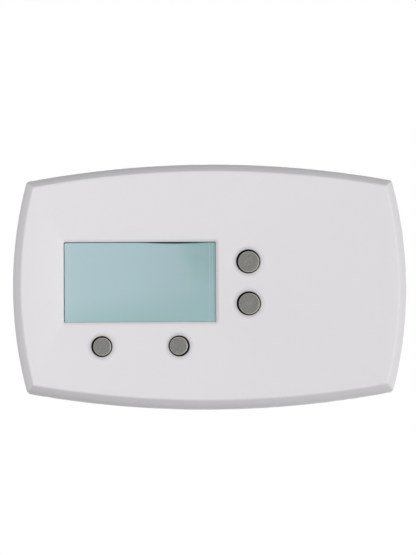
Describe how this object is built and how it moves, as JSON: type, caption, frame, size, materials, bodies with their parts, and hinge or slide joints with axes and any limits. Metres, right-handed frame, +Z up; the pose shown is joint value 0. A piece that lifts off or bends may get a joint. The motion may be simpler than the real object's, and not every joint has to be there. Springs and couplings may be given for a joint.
{
  "type": "wall thermostat",
  "caption": "Wall thermostat: wide barrel-sided cover with a dished face, off-centre display window and round push buttons, snapped on to a screwed wall plate with wiring terminals.",
  "frame": {"origin": "middle of the wall plate's back face, on the wall's surface", "axes": "+X to the right seen from the room, +Y into the wall, +Z up; the cover faces -Y"},
  "size_m": [0.1474, 0.0361, 0.0918],
  "materials": {
    "cover_plastic": "fine satin texture, off-white",
    "case_plastic": "plain moulded, off-white",
    "button_plastic": "satin, warm mid grey",
    "clear_window": "clear, polished",
    "display_film": "grey-green polariser",
    "display_glass": "thin float glass",
    "light_guide": "clear acrylic, frosted back",
    "reflector_film": "white film",
    "led_resin": "cast resin",
    "frame_plastic": "plain moulded",
    "board_laminate": "green solder mask on glass laminate",
    "chip_resin": "moulded epoxy",
    "sensor_resin": "dipped epoxy bead",
    "relay_plastic": "sealed case, blue",
    "capacitor_can": "drawn can",
    "crystal_can": "drawn can",
    "header_plastic": "moulded",
    "terminal_plastic": "moulded",
    "contact_brass": "stamped",
    "plated_steel": "zinc plated",
    "nickel_plate": "nickel plated spring steel",
    "cell_wrap": "printed film over a steel can",
    "keypad_rubber": "silicone",
    "contact_rubber": "carbon-filled silicone"
  },
  "bodies": {
    "wall_base": {"wall_plate": "case_plastic", "snap_hooks": "case_plastic", "terminal_block_left": "terminal_plastic", "terminal_block_right": "terminal_plastic", "terminal_contacts": "contact_brass", "terminal_clamps": "plated_steel", "terminal_screws": "plated_steel", "power_jumper": "plated_steel"},
    "module": {"front_cover": "cover_plastic", "rear_housing": "case_plastic", "case_screws": "plated_steel", "display_window": "clear_window", "display_frame": "frame_plastic", "display_front_polariser": "display_film", "display_front_glass": "display_glass", "display_rear_glass": "display_glass", "display_rear_polariser": "display_film", "backlight_guide": "light_guide", "backlight_reflector": "reflector_film", "backlight_leds": "led_resin", "display_contact_strip": "contact_rubber", "main_board": "board_laminate", "board_screws": "plated_steel", "contact_pads": "contact_brass", "relays": "relay_plastic", "controller_chip": "chip_resin", "capacitors": "capacitor_can", "crystal": "crystal_can", "chip_parts": "chip_resin", "temperature_sensor": "sensor_resin", "header_left": "header_plastic", "header_right": "header_plastic", "header_pins": "contact_brass", "battery_left": "cell_wrap", "battery_right": "cell_wrap", "battery_plates": "nickel_plate", "battery_springs": "nickel_plate", "keypad_web_side": "keypad_rubber", "keypad_web_lower": "keypad_rubber", "up_dome_spring": "keypad_rubber", "down_dome_spring": "keypad_rubber", "left_dome_spring": "keypad_rubber", "right_dome_spring": "keypad_rubber"},
    "up_key": {"up_button": "button_plastic", "up_plunger": "keypad_rubber", "up_contact_pill": "contact_rubber"},
    "down_key": {"down_button": "button_plastic", "down_plunger": "keypad_rubber", "down_contact_pill": "contact_rubber"},
    "left_key": {"left_button": "button_plastic", "left_plunger": "keypad_rubber", "left_contact_pill": "contact_rubber"},
    "right_key": {"right_button": "button_plastic", "right_plunger": "keypad_rubber", "right_contact_pill": "contact_rubber"}
  },
  "joints": [
    {"name": "module_pull", "type": "slide", "parent": "wall_base", "child": "module", "axis": [0, -1, 0], "range_m": [0, 0.06], "deforming": ["snap_hooks"]},
    {"name": "up_press", "type": "slide", "parent": "module", "child": "up_key", "axis": [0, 1, 0], "range_m": [0, 0.00085], "stiffness_N_per_m": 1700, "deforming": ["up_dome_spring"]},
    {"name": "down_press", "type": "slide", "parent": "module", "child": "down_key", "axis": [0, 1, 0], "range_m": [0, 0.00085], "stiffness_N_per_m": 1700, "deforming": ["down_dome_spring"]},
    {"name": "left_press", "type": "slide", "parent": "module", "child": "left_key", "axis": [0, 1, 0], "range_m": [0, 0.00085], "stiffness_N_per_m": 1700, "deforming": ["left_dome_spring"]},
    {"name": "right_press", "type": "slide", "parent": "module", "child": "right_key", "axis": [0, 1, 0], "range_m": [0, 0.00085], "stiffness_N_per_m": 1700, "deforming": ["right_dome_spring"]}
  ]
}
